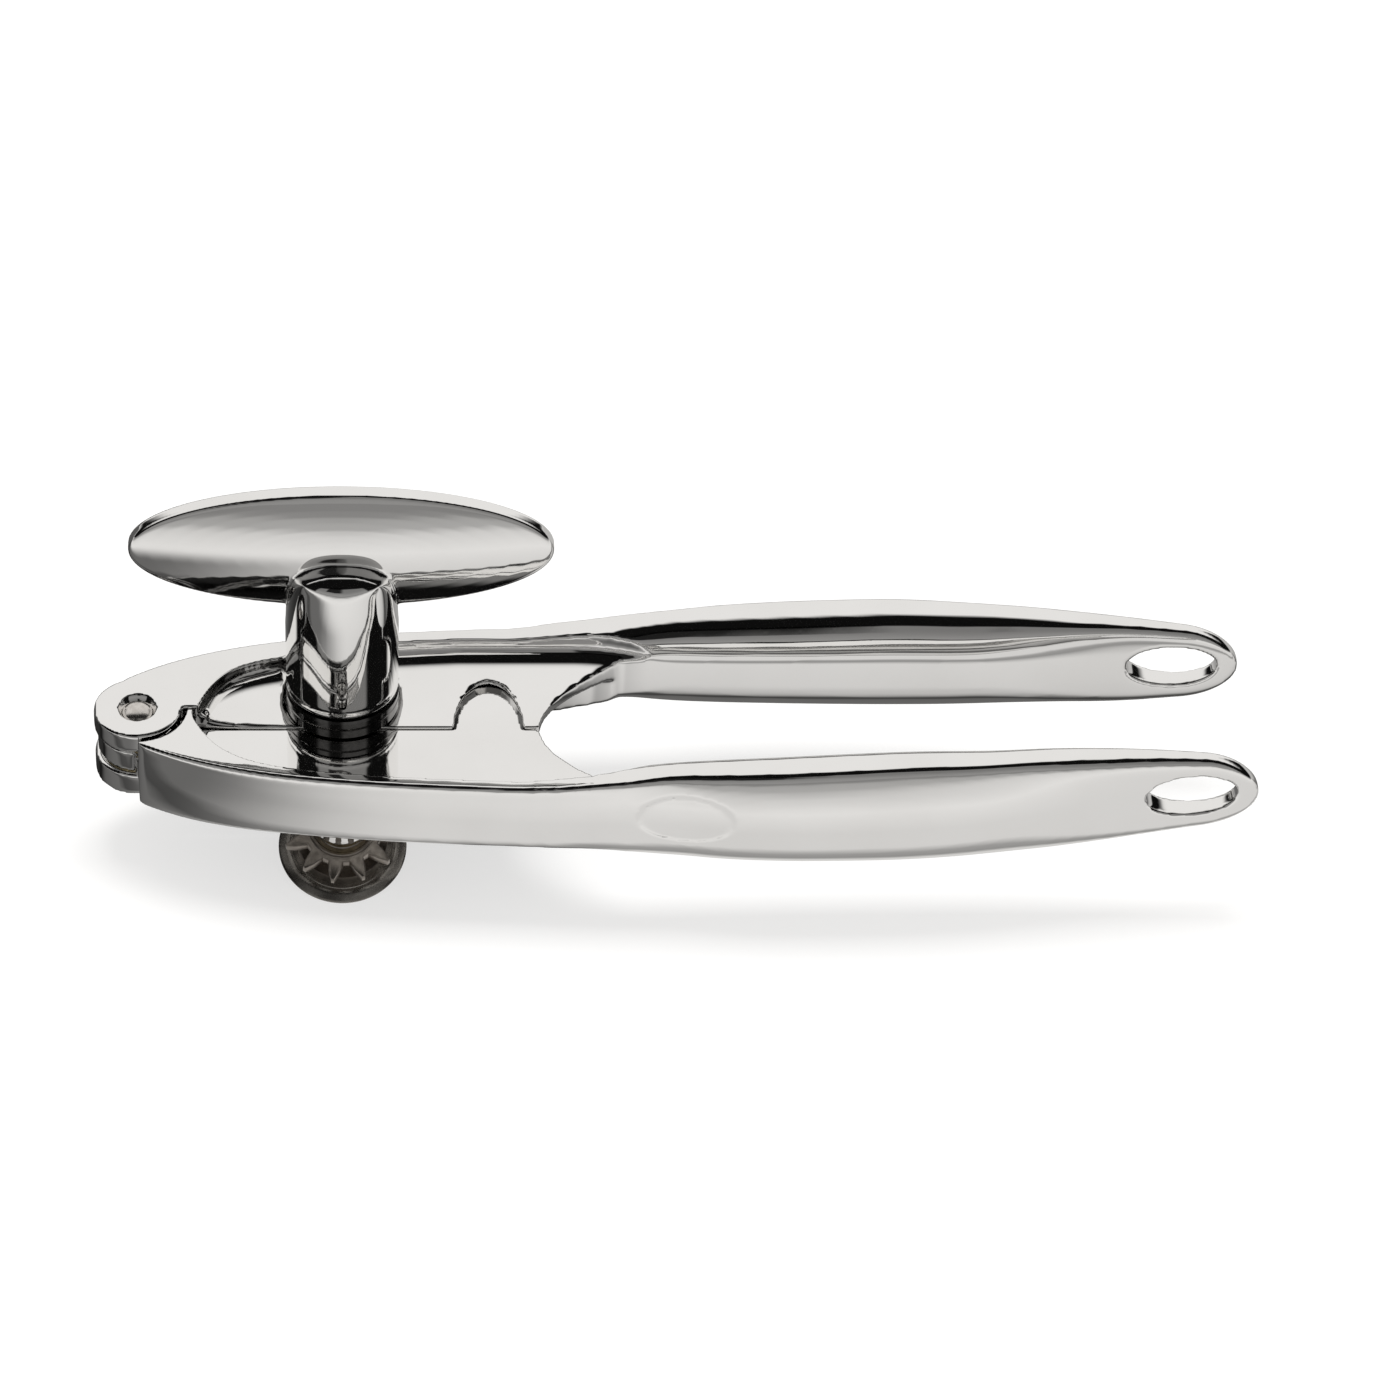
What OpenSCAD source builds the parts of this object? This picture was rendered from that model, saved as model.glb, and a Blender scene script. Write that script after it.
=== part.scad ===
// Manual can opener. Two cast handles turn on a riveted hinge. A knob on the rear jaw turns the
// feed wheel and a small gear, which drives the cutting wheel on a tilted stud under the front jaw.
// X runs from the hinge to the handle tips, Y across the jaws, and Z up towards the knob.

/* [Handles] */
// Hinge axis to the tips of the handles
handle_l = 196; // [188:1:206]
// Middle of a grip to the centre plane, at its widest
grip_y = 20.8; // [20:0.1:23]
// Half the thickness of a grip at its fullest
grip_half_t = 5.8; // [5:0.1:6.5]
// Half the height of a grip at its fullest
grip_half_h = 11.35; // [10:0.05:13]
// Thickness of the flat blade round a hanging hole
blade_t = 3.8; // [3:0.1:4.4]
// Length of a hanging hole
hole_l = 15.7; // [12:0.1:17]
// Height of a hanging hole
hole_h = 8.7; // [7:0.1:10]
// Middle of a hanging hole to the handle's tip
hole_inset = 13.8; // [12.5:0.1:15]
// Length of the oval recess in the front grip
oval_l = 17; // [12:0.5:20]
// Height of the oval recess
oval_h = 10.7; // [7:0.1:12]
// Depth of the oval recess
oval_d = 0.5; // [0.2:0.1:0.8]

/* [Jaws] */
// Half width of the closed jaws, before their flare
jaw_half_w = 20.3; // [19.8:0.1:22]
// Widening of each jaw per millimetre towards the grips
jaw_flare = 0.028; // [0.02:0.002:0.034]
// How much narrower a jaw is at the hinge
nose_drop = 10.9; // [10.2:0.1:11.2]
// Distance over which the nose widens
nose_run = 18.3; // [16:0.1:20]
// Thickness of a jaw from rim to underside
jaw_t = 12.8; // [12:0.1:14]
// Depth of the pocket in the jaws
pocket_d = 5; // [4.4:0.1:5.6]
// Width of the rim round the rear pocket
rim_w = 3.6; // [3:0.1:4.5]
// Width of the rim round the front pocket
front_rim_w = 3; // [2.4:0.1:3.6]
// Hinge axis to the throat where the handles part
throat_x = 70.2; // [69:0.1:73]
// Gap along the line where the jaws meet
split_gap = 0.4; // [0.3:0.05:0.6]
// Hinge axis to the middle of the locating tongue
tongue_x = 61.2; // [58:0.1:62]
// Half width of the tongue at its root
tongue_half_w = 5.65; // [4.5:0.05:6]
// Reach of the tongue past the centre plane
tongue_l = 9.6; // [7:0.1:10.5]
// Depth of the recess under a jaw
under_d = 3.3; // [2:0.1:4]

/* [Hinge] */
// Radius of the hinge knuckles
boss_r = 7.6; // [7:0.1:8]
// Thickness of the upper knuckle
upper_knuckle_t = 3.9; // [3.4:0.1:4.2]
// Thickness of the lower knuckle
lower_knuckle_t = 3.6; // [3.2:0.1:4.2]
// Radius of the hinge rivet
rivet_r = 2.5; // [2:0.1:2.8]
// Radius of the rivet's heads
rivet_head_r = 3.25; // [3.2:0.05:3.8]
// Height of the rivet's dome
rivet_dome = 0.8; // [0.5:0.1:1]
// Thickness of the washers between the knuckles
hinge_washer_t = 0.4; // [0.3:0.05:0.6]

/* [Knob] */
// Hinge axis to the knob's axis
knob_x = 35.6; // [35:0.1:37]
// Knob's axis to the centre plane
knob_y = 6.5; // [6.4:0.05:6.7]
// Radius of the knob's stem
stem_r = 9.85; // [9:0.05:10]
// Height of the stem's straight part
stem_h = 19.3; // [17:0.1:21]
// Height of the dome on the stem
dome_h = 10.3; // [8:0.1:11]
// Radius of the stem's lower edge
stem_edge_r = 1.5; // [1:0.1:2]
// Length of the knob's wing
wing_l = 73; // [60:1:80]
// Height of the wing
wing_h = 24.8; // [22:0.1:28]
// Thickness of the wing
wing_t = 3; // [2:0.1:4]
// Middle of the wing above the foot of the stem
wing_z = 31.6; // [29:0.1:33]
// Radius of the collar under the knob
collar_r = 9.9; // [9:0.1:10]
// Thickness of the collar
collar_t = 3.8; // [3.2:0.1:4]
// Thickness of the spring washer under the knob
spring_t = 0.4; // [0.3:0.05:0.5]

/* [Drive] */
// Radius of the drive shaft
shaft_r = 4; // [3.6:0.05:4.1]
// Radius of the shaft's lower end, which carries gear and feed wheel
shaft_end_r = 2.9; // [2.5:0.05:3]
// Wall of the shaft bush
bush_wall = 1; // [0.8:0.05:1.1]
// Radius of the bush's flange
flange_r = 6; // [5.6:0.05:6.1]
// Thickness of the bush's flange
flange_t = 0.4; // [0.35:0.05:0.6]
// Gear module: pitch diameter for each tooth
gear_module = 1.5; // [1.46:0.01:1.52]
// Teeth of the drive gear
drive_teeth = 10; // [10:1:10]
// Thickness of the drive gear
drive_gear_t = 2.2; // [1.8:0.1:2.4]
// Middle of the drive gear below the pocket floor
gear_drop = 11.8; // [11.6:0.05:12.4]
// Radius of the feed wheel
feed_r = 5.6; // [5:0.1:5.8]
// Thickness of the feed wheel
feed_t = 2.7; // [2.4:0.1:2.8]
// Teeth of the feed wheel
feed_teeth = 22; // [16:1:26]
// Thickness of the spacer between drive gear and feed wheel
feed_spacer_t = 0.6; // [0.4:0.05:0.7]

/* [Cutter] */
// Tilt of the cutter's stud, towards the front at the top
tilt = 21; // [19:0.5:23]
// Teeth of the star gear
star_teeth = 12; // [12:1:12]
// Thickness of the star gear
star_t = 1.6; // [1.2:0.1:1.8]
// Radius of the cutting wheel
cutter_r = 11.35; // [10.8:0.05:11.6]
// Thickness of the cutting wheel
cutter_t = 1.6; // [1.3:0.1:1.8]
// Star gear to cutting wheel, along the stud
cutter_pitch = 7.2; // [6.8:0.1:7.6]
// Radius of the stud
stud_r = 2.5; // [2:0.05:2.6]
// Radius of the stud's head
stud_head_r = 3.2; // [3:0.05:3.4]
// Radius of the inclined boss under the front jaw
stud_boss_r = 5.5; // [5:0.1:6]
// Wall of the cutter's bush
cutter_bush_wall = 0.8; // [0.6:0.05:1]

/* [Clearances] */
// Radial clearance of a running fit
running_gap = 0.05; // [0.03:0.01:0.08]
// Radial clearance of parts pressed together
seat_gap = 0.02; // [0.01:0.01:0.03]
// Axial play between parts that turn on each other
play = 0.1; // [0.08:0.01:0.15]
// Free gap between the tongue and its notch
tongue_gap = 0.4; // [0.3:0.05:0.6]

/* [Hidden] */
$fn = 64;

CHROME = [0.80, 0.80, 0.81];
STEEL = [0.62, 0.62, 0.63];
DARK = [0.28, 0.27, 0.26];
BRONZE = [0.66, 0.52, 0.34];
BIG = 60;
CUT = 0.5;

// Heights, measured from the pocket floor
rim_z = pocket_d;
under_z = rim_z - jaw_t;
mid_z = (rim_z + under_z) / 2;
recess_z = under_z + under_d;
edge_step = 3;
jaw_end_run = 17.8;
jaw_end_x = throat_x + jaw_end_run;
rear_start_x = -3.6;
front_start_x = -0.3;
under_start_x = boss_r + 8.4;
under_end_x = tongue_x - 6;
under_wall = rim_w - 0.4;

// Knuckles from the top down
washer_gap = hinge_washer_t + play;
upper_z = rim_z - upper_knuckle_t;
lower_z = under_z + lower_knuckle_t;
nose_cut_r = boss_r + 1;
mid_boss_r = boss_r - 0.3;
knuckle_room = 0.4;
head_sink = 1.1;
head_seat_r = rivet_head_r + 0.15;

// Grip: stations along the handle as [x, middle, half thickness, half height]
tip_l = 11;
tip_x = handle_l - tip_l;
blade_y = grip_y - 3.8;
grip_x0 = throat_x - 8.2;
grip_run = tip_x - grip_x0;
root_half_h = jaw_t / 2 - 0.05;
grip_sides = 24;
roundness = 0.8;
// Share of the half thickness at which a grip's inner side is cut flat
inner_flat = 0.86;
oval_run = 26.4;
oval_x = throat_x + oval_run;
oval_t = (oval_x - grip_x0) / grip_run;
GRIP = [
    [0.00, grip_y - 0.9, grip_half_t * 0.27, root_half_h],
    [0.10, grip_y - 0.5, grip_half_t * 0.42, root_half_h * 1.12],
    [0.24, grip_y - 0.5, grip_half_t * 0.77, grip_half_h * 0.86],
    [0.40, grip_y - 0.1, grip_half_t * 0.95, grip_half_h * 0.94],
    [0.52, grip_y, grip_half_t, grip_half_h * 0.99],
    [0.62, grip_y - 0.5, grip_half_t * 0.98, grip_half_h],
    [0.73, grip_y - 1.3, grip_half_t * 0.86, grip_half_h * 0.965],
    [0.82, grip_y - 2.3, grip_half_t * 0.68, grip_half_h * 0.92],
    [0.90, blade_y, blade_t * 0.76, grip_half_h * 0.82],
    [1.00, blade_y, blade_t * 0.72, grip_half_h * 0.70]
];

// Knob from the pocket floor up
collar_z = flange_t;
spring_z = collar_z + collar_t + play;
knob_z = spring_z + spring_t;
dome_z = knob_z + stem_h;
shaft_top_z = knob_z + stem_h * 0.7;
pin_r = 1.25;
pin_z = knob_z + stem_h * 0.46;
pin_half_l = stem_r - 1;

// Drive train from the rear jaw down
bush_r = shaft_r + running_gap + bush_wall;
drive_gear_z = -gear_drop - drive_gear_t / 2;
thrust_t = 0.5;
thrust_z = drive_gear_z + drive_gear_t + play;
drive_boss_z = thrust_z + thrust_t;
drive_boss_r = flange_r + 0.1;
feed_spacer_z = drive_gear_z - feed_spacer_t;
feed_z = feed_spacer_z - feed_t;
nut_t = 1.4;
nut_r = shaft_end_r + 0.75;
nut_stub_r = shaft_end_r - 0.8;
nut_room = 0.2;

// Gears: the pitch circles touch at the mesh point on the centre line between the two axes
drive_pitch_r = gear_module * drive_teeth / 2;
star_pitch_r = gear_module * star_teeth / 2;
star_phase = -9.3;
drive_phase = -star_phase * star_teeth / drive_teeth;
mesh_y = knob_y - drive_pitch_r;
star_y = mesh_y - star_pitch_r * cos(tilt);
star_z = -gear_drop - star_pitch_r * sin(tilt);
// Share of the tooth pitch that a tooth fills, and its angles at the tip and the root
tooth_share = 0.4;

// Cutter, as heights along the tilted stud from the middle of the star gear
star_hub_t = 0.5;
spacer_s = star_t / 2 + star_hub_t + play;
stud_boss_s = 4;
spacer_r = stud_r + 2;
cutter_s = -cutter_pitch;
hub_top_s = -star_t / 2;
hub_end_s = cutter_s + cutter_t / 2;
bush_end_s = cutter_s - cutter_t / 2;
end_washer_t = 0.5;
end_washer_s = bush_end_s - play - end_washer_t;
cutter_nut_t = 1.4;
cutter_nut_s = end_washer_s - cutter_nut_t;
cutter_bush_r = stud_r + running_gap + cutter_bush_wall;
cutter_edge = 0.1;
head_s = (-0.6 - star_z) / cos(tilt);
head_h = 1.6;
head_room = 0.2;

// Where the model stands: middle of its length, and the lowest point of the cutting wheel
floor_z = star_z - cutter_pitch * cos(tilt) - cutter_r * sin(tilt) - cutter_edge * cos(tilt);
origin = [(handle_l - boss_r) / 2, 0, floor_z];

// Outer edge of a jaw at x, and the inner wall of its pocket. Each rim thickens towards the hinge,
// and the rear one has a shoulder in front of the knob
rear_pocket_x = boss_r + 3;
front_pocket_x = boss_r + 2;
shoulder_x = 26;
shoulder_w = 1.6;
rear_web = 7;
rear_web_run = 3.2;
front_web = 8.4;
front_web_run = 4.3;
collar_room = 0.5;
function edge(x) = jaw_half_w + jaw_flare * x - nose_drop * exp(-x / nose_run);
function rear_wall(x) = edge(x) - rim_w - (x < shoulder_x ? shoulder_w : 0)
    - (x < shoulder_x ? rear_web * exp((rear_pocket_x + 0.6 - x) / rear_web_run) : 0);
function front_wall(x) = edge(x) - front_rim_w - front_web * exp((front_pocket_x + 0.4 - x) / front_web_run);
// Edge of the floor plate towards the throat, where the handles part
fork_w = 16.4;
function fork_x(y) = throat_x + y * y / fork_w;
// Value of column c of the stations at t, along a smooth curve through them
function span(t) = len([for (s = GRIP) if (s[0] < t) 1]);
function row(i) = GRIP[max(0, min(len(GRIP) - 1, i))];
function slope(i, c) = (row(i + 1)[c] - row(i - 1)[c]) / (row(i + 1)[0] - row(i - 1)[0]);
function hermite(u, d, p, m, q, n) = p + u * d * m
    + u * u * (3 * (q - p) - d * (2 * m + n)) + u * u * u * (2 * (p - q) + d * (m + n));
function grip_at(t, c) = let (i = max(1, span(t)), a = row(i - 1), b = row(i), d = b[0] - a[0])
    hermite((t - a[0]) / d, d, a[c], slope(i - 1, c), b[c], slope(i, c));
function soft(v) = sign(v) * pow(abs(v), roundness);
function grip_ring(x, middle, half_t, half_h) = [for (k = [0:grip_sides - 1])
    let (a = 360 * k / grip_sides)
        [x, middle + half_t * max(-inner_flat, soft(cos(a))), mid_z + half_h * soft(sin(a))]];
function ellipse(a, b, n = 48) = [for (k = [0:n - 1]) [a * cos(360 * k / n), b * sin(360 * k / n)]];
// Teeth with straight flanks, as [radius, share of the pitch] from gap to gap
function tooth_ring(teeth, phase, profile) = [for (k = [0:teeth - 1]) for (p = profile)
    let (a = phase + 360 * (k + p[1]) / teeth) p[0] * [cos(a), sin(a)]];
function gear_profile(pitch_r) = let (tip = pitch_r + gear_module, root = pitch_r - 1.27 * gear_module)
    [[root, -0.36], [pitch_r, -tooth_share / 2], [tip, -0.05],
     [tip, 0.05], [pitch_r, tooth_share / 2], [root, 0.36]];

module place() {
    translate(-origin) children();
}

module at_knob() {
    translate([knob_x, knob_y, 0]) children();
}

module on_stud(s = 0) {
    translate([knob_x, star_y, star_z]) rotate([tilt, 0, 0]) translate([0, 0, s]) children();
}

module ring(r, bore, z, h) {
    translate([0, 0, z]) difference() {
        cylinder(r = r, h = h);
        translate([0, 0, -CUT]) cylinder(r = bore, h = h + 2 * CUT);
    }
}

// Plan of one jaw, on the +Y side, down to the split line
module jaw_plan(start_x) {
    fork_top = sqrt((jaw_end_x - throat_x) * fork_w);
    polygon(concat(
        [for (x = [start_x:edge_step:jaw_end_x]) [x, edge(x)]],
        [[jaw_end_x, edge(jaw_end_x)]],
        [for (k = [0:8]) let (y = fork_top - k * (fork_top - split_gap / 2) / 8) [fork_x(y), y]],
        [[0, split_gap / 2]]));
}

// Pocket in the top of one jaw: from its wall over the split line and out of the throat
module pocket(start_x, front) {
    wall_end = jaw_end_x - 4;
    linear_extrude(rim_z + CUT) polygon(concat(
        [[start_x, -CUT]],
        [for (x = [start_x:1:shoulder_x - 0.1]) [x, max(0.3, front ? front_wall(x) : rear_wall(x))]],
        [for (x = [shoulder_x + 0.6:edge_step:wall_end]) [x, front ? front_wall(x) : rear_wall(x)]],
        [[jaw_end_x + 1, jaw_half_w - 2], [jaw_end_x + 1, -CUT]]));
}

// Recess in the underside, inside a wall along the outer edge and the split line
module under_recess() {
    translate([0, 0, under_z - CUT]) linear_extrude(under_d + CUT) polygon(concat(
        [for (x = [under_start_x:edge_step:under_end_x]) [x, edge(x) - under_wall]],
        [[under_end_x, under_wall], [under_start_x, under_wall]]));
}

module grip() {
    steps = 22;
    body = [for (k = [0:steps]) let (t = k / steps)
        grip_ring(grip_x0 + t * grip_run, grip_at(t, 1), grip_at(t, 2), grip_at(t, 3))];
    tip = [for (a = [15:15:75]) grip_ring(tip_x + tip_l * sin(a), grip_at(1, 1),
        grip_at(1, 2) * (0.5 + 0.5 * cos(a)), grip_at(1, 3) * cos(a))];
    end = [grip_ring(handle_l, grip_at(1, 1), grip_at(1, 2) * 0.5, grip_at(1, 3) * 0.08)];
    rings = concat(body, tip, end);
    n = grip_sides;
    last = len(rings) - 1;
    polyhedron(points = [for (r = rings) each r], faces = concat(
        [[for (k = [0:n - 1]) k]],
        [for (i = [0:last - 1]) for (k = [0:n - 1])
            [i * n + k, (i + 1) * n + k, (i + 1) * n + (k + 1) % n, i * n + (k + 1) % n]],
        [[for (k = [n - 1:-1:0]) last * n + k]]));
}

// Flats on both sides of the blade, each with a gentle ramp, and the hanging hole through it
module blade_cuts() {
    ramp_run = 13;
    ramp_x = tip_x - ramp_run;
    ramp_l = 24;
    ramp_rise = 6.4;
    for (side = [-1, 1])
        translate([0, blade_y, mid_z - BIG / 2]) linear_extrude(BIG) polygon([
            [ramp_x - ramp_l, side * (blade_t / 2 + ramp_rise)], [ramp_x, side * blade_t / 2],
            [handle_l + CUT, side * blade_t / 2], [handle_l + CUT, side * BIG / 4],
            [ramp_x - ramp_l, side * BIG / 4]]);
    translate([handle_l - hole_inset, blade_y + BIG / 4, mid_z]) rotate([90, 0, 0])
        linear_extrude(BIG / 2) polygon(ellipse(hole_l / 2, hole_h / 2));
}

// Tongue on the front jaw, and with a gap round it the notch in the rear jaw
module tongue(gap, tip_gap) {
    translate([tongue_x, 0, under_z + 1]) linear_extrude(-under_z - 1)
        polygon(concat([[-tongue_half_w - gap, -split_gap - 1]],
            [for (a = [180:-7.5:0]) [(tongue_half_w + gap) * cos(a), (tongue_l + tip_gap) * sin(a)]],
            [[tongue_half_w + gap, -split_gap - 1]]));
}

module notch() {
    translate([tongue_x, 0, under_z - CUT]) linear_extrude(jaw_t)
        polygon([for (a = [0:7.5:352.5])
            [(tongue_half_w + tongue_gap) * cos(a), (tongue_l + 4 * tongue_gap) * sin(a)]]);
}

module rear_handle() {
    color(CHROME) difference() {
        union() {
            difference() {
                translate([0, 0, under_z]) linear_extrude(jaw_t) jaw_plan(rear_start_x);
                pocket(rear_pocket_x, false);
                at_knob() cylinder(r = collar_r + collar_room, h = rim_z + CUT);
                under_recess();
                notch();
            }
            translate([0, 0, under_z]) cylinder(r = boss_r, h = jaw_t);
            at_knob() translate([0, 0, drive_boss_z]) cylinder(r = drive_boss_r, h = -drive_boss_z);
            grip();
        }
        translate([0, 0, lower_z]) cylinder(r = mid_boss_r + knuckle_room, h = upper_z - lower_z);
        translate([0, 0, under_z - CUT]) cylinder(r = rivet_r + seat_gap, h = jaw_t + 2 * CUT);
        translate([0, 0, rim_z - head_sink]) cylinder(r = head_seat_r, h = head_sink + CUT);
        translate([0, 0, under_z - CUT]) cylinder(r = head_seat_r, h = head_sink + CUT);
        at_knob() translate([0, 0, drive_boss_z - CUT])
            cylinder(r = bush_r + seat_gap, h = BIG);
        blade_cuts();
    }
}

module front_handle() {
    color(CHROME) difference() {
        union() {
            difference() {
                mirror([0, 1, 0]) union() {
                    difference() {
                        translate([0, 0, under_z]) linear_extrude(jaw_t) jaw_plan(front_start_x);
                        pocket(front_pocket_x, true);
                        under_recess();
                    }
                    grip();
                }
                for (z = [upper_z - washer_gap, under_z - CUT])
                    translate([0, 0, z]) cylinder(r = nose_cut_r,
                        h = z < lower_z ? lower_z + washer_gap - z : BIG);
            }
            translate([0, 0, lower_z + washer_gap])
                cylinder(r = mid_boss_r, h = upper_z - lower_z - 2 * washer_gap);
            tongue(0, 0);
            intersection() {
                on_stud(stud_boss_s) cylinder(r = stud_boss_r, h = BIG);
                translate([knob_x - BIG / 2, -BIG, recess_z + 1 - BIG]) cube([BIG, BIG - 1, BIG]);
            }
        }
        translate([0, 0, under_z]) cylinder(r = rivet_r + running_gap, h = jaw_t);
        on_stud(0) cylinder(r = stud_r + seat_gap, h = BIG / 3);
        on_stud(head_s) cylinder(r = stud_head_r + head_room, h = head_h + 0.6);
        mirror([0, 1, 0]) blade_cuts();
        translate([oval_x, oval_d - grip_at(oval_t, 1) - grip_at(oval_t, 2), mid_z + 0.6])
            rotate([90, 0, 0]) linear_extrude(BIG / 4) polygon(ellipse(oval_l / 2, oval_h / 2));
    }
}

module hinge_rivet() {
    color(STEEL) {
        translate([0, 0, under_z + 0.2]) cylinder(r = rivet_r, h = jaw_t - 0.4);
        translate([0, 0, under_z + 0.2]) cylinder(r = rivet_head_r, h = head_sink - 0.2);
        translate([0, 0, rim_z - head_sink]) cylinder(r = rivet_head_r, h = head_sink - 0.2);
        translate([0, 0, rim_z - 0.2]) rotate_extrude() polygon(concat([[0, 0]],
            [for (a = [0:10:90]) [rivet_head_r * cos(a), rivet_dome * sin(a)]]));
    }
}

module hinge_washers() {
    color(STEEL) for (z = [upper_z - hinge_washer_t, lower_z])
        ring(boss_r - 1.2, rivet_r + seat_gap, z, hinge_washer_t);
}

module shaft_bush() {
    color(BRONZE) at_knob() {
        ring(bush_r, shaft_r + running_gap, drive_boss_z, -drive_boss_z);
        ring(flange_r, shaft_r + running_gap, 0, flange_t);
    }
}

module knob_collar() {
    color(DARK) at_knob() ring(collar_r, shaft_r + running_gap, collar_z, collar_t);
}

module thrust_washer() {
    color(STEEL) at_knob() ring(drive_boss_r, shaft_r + running_gap, thrust_z, thrust_t);
}

module cutter_stud() {
    color(STEEL) {
        on_stud(cutter_nut_s - 0.3) cylinder(r = stud_r, h = head_s - cutter_nut_s + 0.3);
        on_stud(head_s) rotate_extrude() polygon(concat([[0, 0], [stud_head_r, 0]],
            [for (a = [0:15:90]) [stud_head_r * cos(a), head_h * (0.35 + 0.65 * sin(a))]]));
    }
}

module cutter_spacer() {
    color(DARK) on_stud() ring(spacer_r, stud_r + seat_gap, spacer_s, stud_boss_s - spacer_s);
}

module cutter_end_washer() {
    color(STEEL) on_stud() ring(stud_r + 1.7, stud_r + seat_gap, end_washer_s, end_washer_t);
}

module cutter_nut() {
    color(STEEL) on_stud(cutter_nut_s) difference() {
        cylinder(r = stud_r + 1.3, h = cutter_nut_t, $fn = 6);
        translate([0, 0, -CUT]) cylinder(r = stud_r + seat_gap, h = cutter_nut_t + 2 * CUT);
    }
}

module turning_knob() {
    color(CHROME) at_knob() difference() {
        union() {
            rotate_extrude() polygon(concat([[0, knob_z]],
                [for (a = [-90:15:0]) [stem_r - stem_edge_r * (1 - cos(a)),
                    knob_z + stem_edge_r * (1 + sin(a))]],
                [for (a = [0:10:90]) [stem_r * cos(a), dome_z + dome_h * sin(a)]]));
            translate([0, wing_t / 2, knob_z + wing_z]) rotate([90, 0, 0])
                linear_extrude(wing_t) polygon(ellipse(wing_l / 2, wing_h / 2, 72));
        }
        translate([0, 0, knob_z - CUT])
            cylinder(r = shaft_r + seat_gap, h = shaft_top_z + seat_gap - knob_z + CUT);
        translate([0, stem_r + CUT, pin_z]) rotate([90, 0, 0])
            cylinder(r = pin_r + seat_gap, h = stem_r + CUT + pin_half_l - 1);
    }
}

module spring_washer() {
    color(DARK) at_knob() ring(stem_r - stem_edge_r - 0.3, shaft_r + seat_gap, spring_z, spring_t);
}

module knob_pin() {
    color(STEEL) at_knob() translate([0, pin_half_l, pin_z]) rotate([90, 0, 0])
        cylinder(r = pin_r, h = 2 * pin_half_l - 1);
}

module drive_shaft() {
    color(STEEL) at_knob() difference() {
        union() {
            translate([0, 0, thrust_z - play])
                cylinder(r = shaft_r, h = shaft_top_z - thrust_z + play);
            translate([0, 0, feed_z + nut_t])
                cylinder(r = shaft_end_r, h = thrust_z - play - feed_z - nut_t + CUT);
            translate([0, 0, feed_z]) cylinder(r = nut_stub_r, h = nut_t + CUT);
        }
        translate([0, stem_r, pin_z]) rotate([90, 0, 0])
            cylinder(r = pin_r + seat_gap, h = 2 * stem_r);
    }
}

module drive_gear() {
    color(DARK) at_knob() translate([0, 0, drive_gear_z]) difference() {
        linear_extrude(drive_gear_t) polygon(tooth_ring(drive_teeth,
            270 + 180 / drive_teeth + drive_phase, gear_profile(drive_pitch_r)));
        translate([0, 0, -CUT]) cylinder(r = shaft_end_r + seat_gap, h = drive_gear_t + 2 * CUT);
    }
}

module feed_spacer() {
    color(STEEL) at_knob() ring(feed_r - 0.9, shaft_end_r + seat_gap, feed_spacer_z, feed_spacer_t);
}

module feed_wheel() {
    tooth_h = 0.5;
    color(DARK) at_knob() translate([0, 0, feed_z]) difference() {
        linear_extrude(feed_t) polygon(tooth_ring(feed_teeth, 0,
            [[feed_r - tooth_h, -0.4], [feed_r, -0.1], [feed_r, 0.1], [feed_r - tooth_h, 0.4]]));
        translate([0, 0, -CUT]) cylinder(r = shaft_end_r + seat_gap, h = feed_t + 2 * CUT);
        translate([0, 0, -CUT]) cylinder(r = nut_r + nut_room, h = nut_t + CUT);
    }
}

module shaft_nut() {
    color(STEEL) at_knob() translate([0, 0, feed_z]) difference() {
        cylinder(r = nut_r, h = nut_t, $fn = 6);
        translate([0, 0, -CUT]) cylinder(r = nut_stub_r + seat_gap, h = nut_t + 2 * CUT);
    }
}

module cutter_gear() {
    color(DARK) on_stud(-star_t / 2) difference() {
        union() {
            linear_extrude(star_t) polygon(tooth_ring(star_teeth, 90 + star_phase,
                gear_profile(star_pitch_r)));
            cylinder(r = spacer_r + 1.6, h = star_t + star_hub_t);
        }
        translate([0, 0, -CUT])
            cylinder(r = cutter_bush_r + seat_gap, h = star_t + star_hub_t + 2 * CUT);
    }
}

module cutter_hub() {
    hub_r = 6.4;
    foot_r = 8;
    foot_h = (hub_top_s - hub_end_s) / 2;
    color(DARK) on_stud() {
        ring(foot_r, cutter_bush_r + seat_gap, hub_end_s, foot_h);
        ring(hub_r, cutter_bush_r + seat_gap, hub_end_s + foot_h, foot_h);
    }
}

module cutter_wheel() {
    half = cutter_t / 2;
    bore = cutter_bush_r + seat_gap;
    color(STEEL) on_stud(cutter_s) rotate_extrude() polygon([[bore, -half],
        [cutter_r - 2.6, -half], [cutter_r, -cutter_edge], [cutter_r, cutter_edge],
        [cutter_r - 0.85, half * 0.6], [cutter_r - 2.25, half], [bore, half]]);
}

module cutter_bush() {
    color(BRONZE) on_stud() ring(cutter_bush_r, stud_r + running_gap, bush_end_s,
        star_t / 2 + star_hub_t - bush_end_s);
}

place() rear_handle();
place() hinge_rivet();
place() hinge_washers();
place() shaft_bush();
place() knob_collar();
place() thrust_washer();
place() front_handle();
place() cutter_stud();
place() cutter_spacer();
place() cutter_end_washer();
place() cutter_nut();
place() turning_knob();
place() spring_washer();
place() knob_pin();
place() drive_shaft();
place() drive_gear();
place() feed_spacer();
place() feed_wheel();
place() shaft_nut();
place() cutter_gear();
place() cutter_hub();
place() cutter_wheel();
place() cutter_bush();
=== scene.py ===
from math import atan, cos, exp, log, pi, radians, sin, sqrt

import bmesh
import bpy
from mathutils import Matrix, Vector


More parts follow.
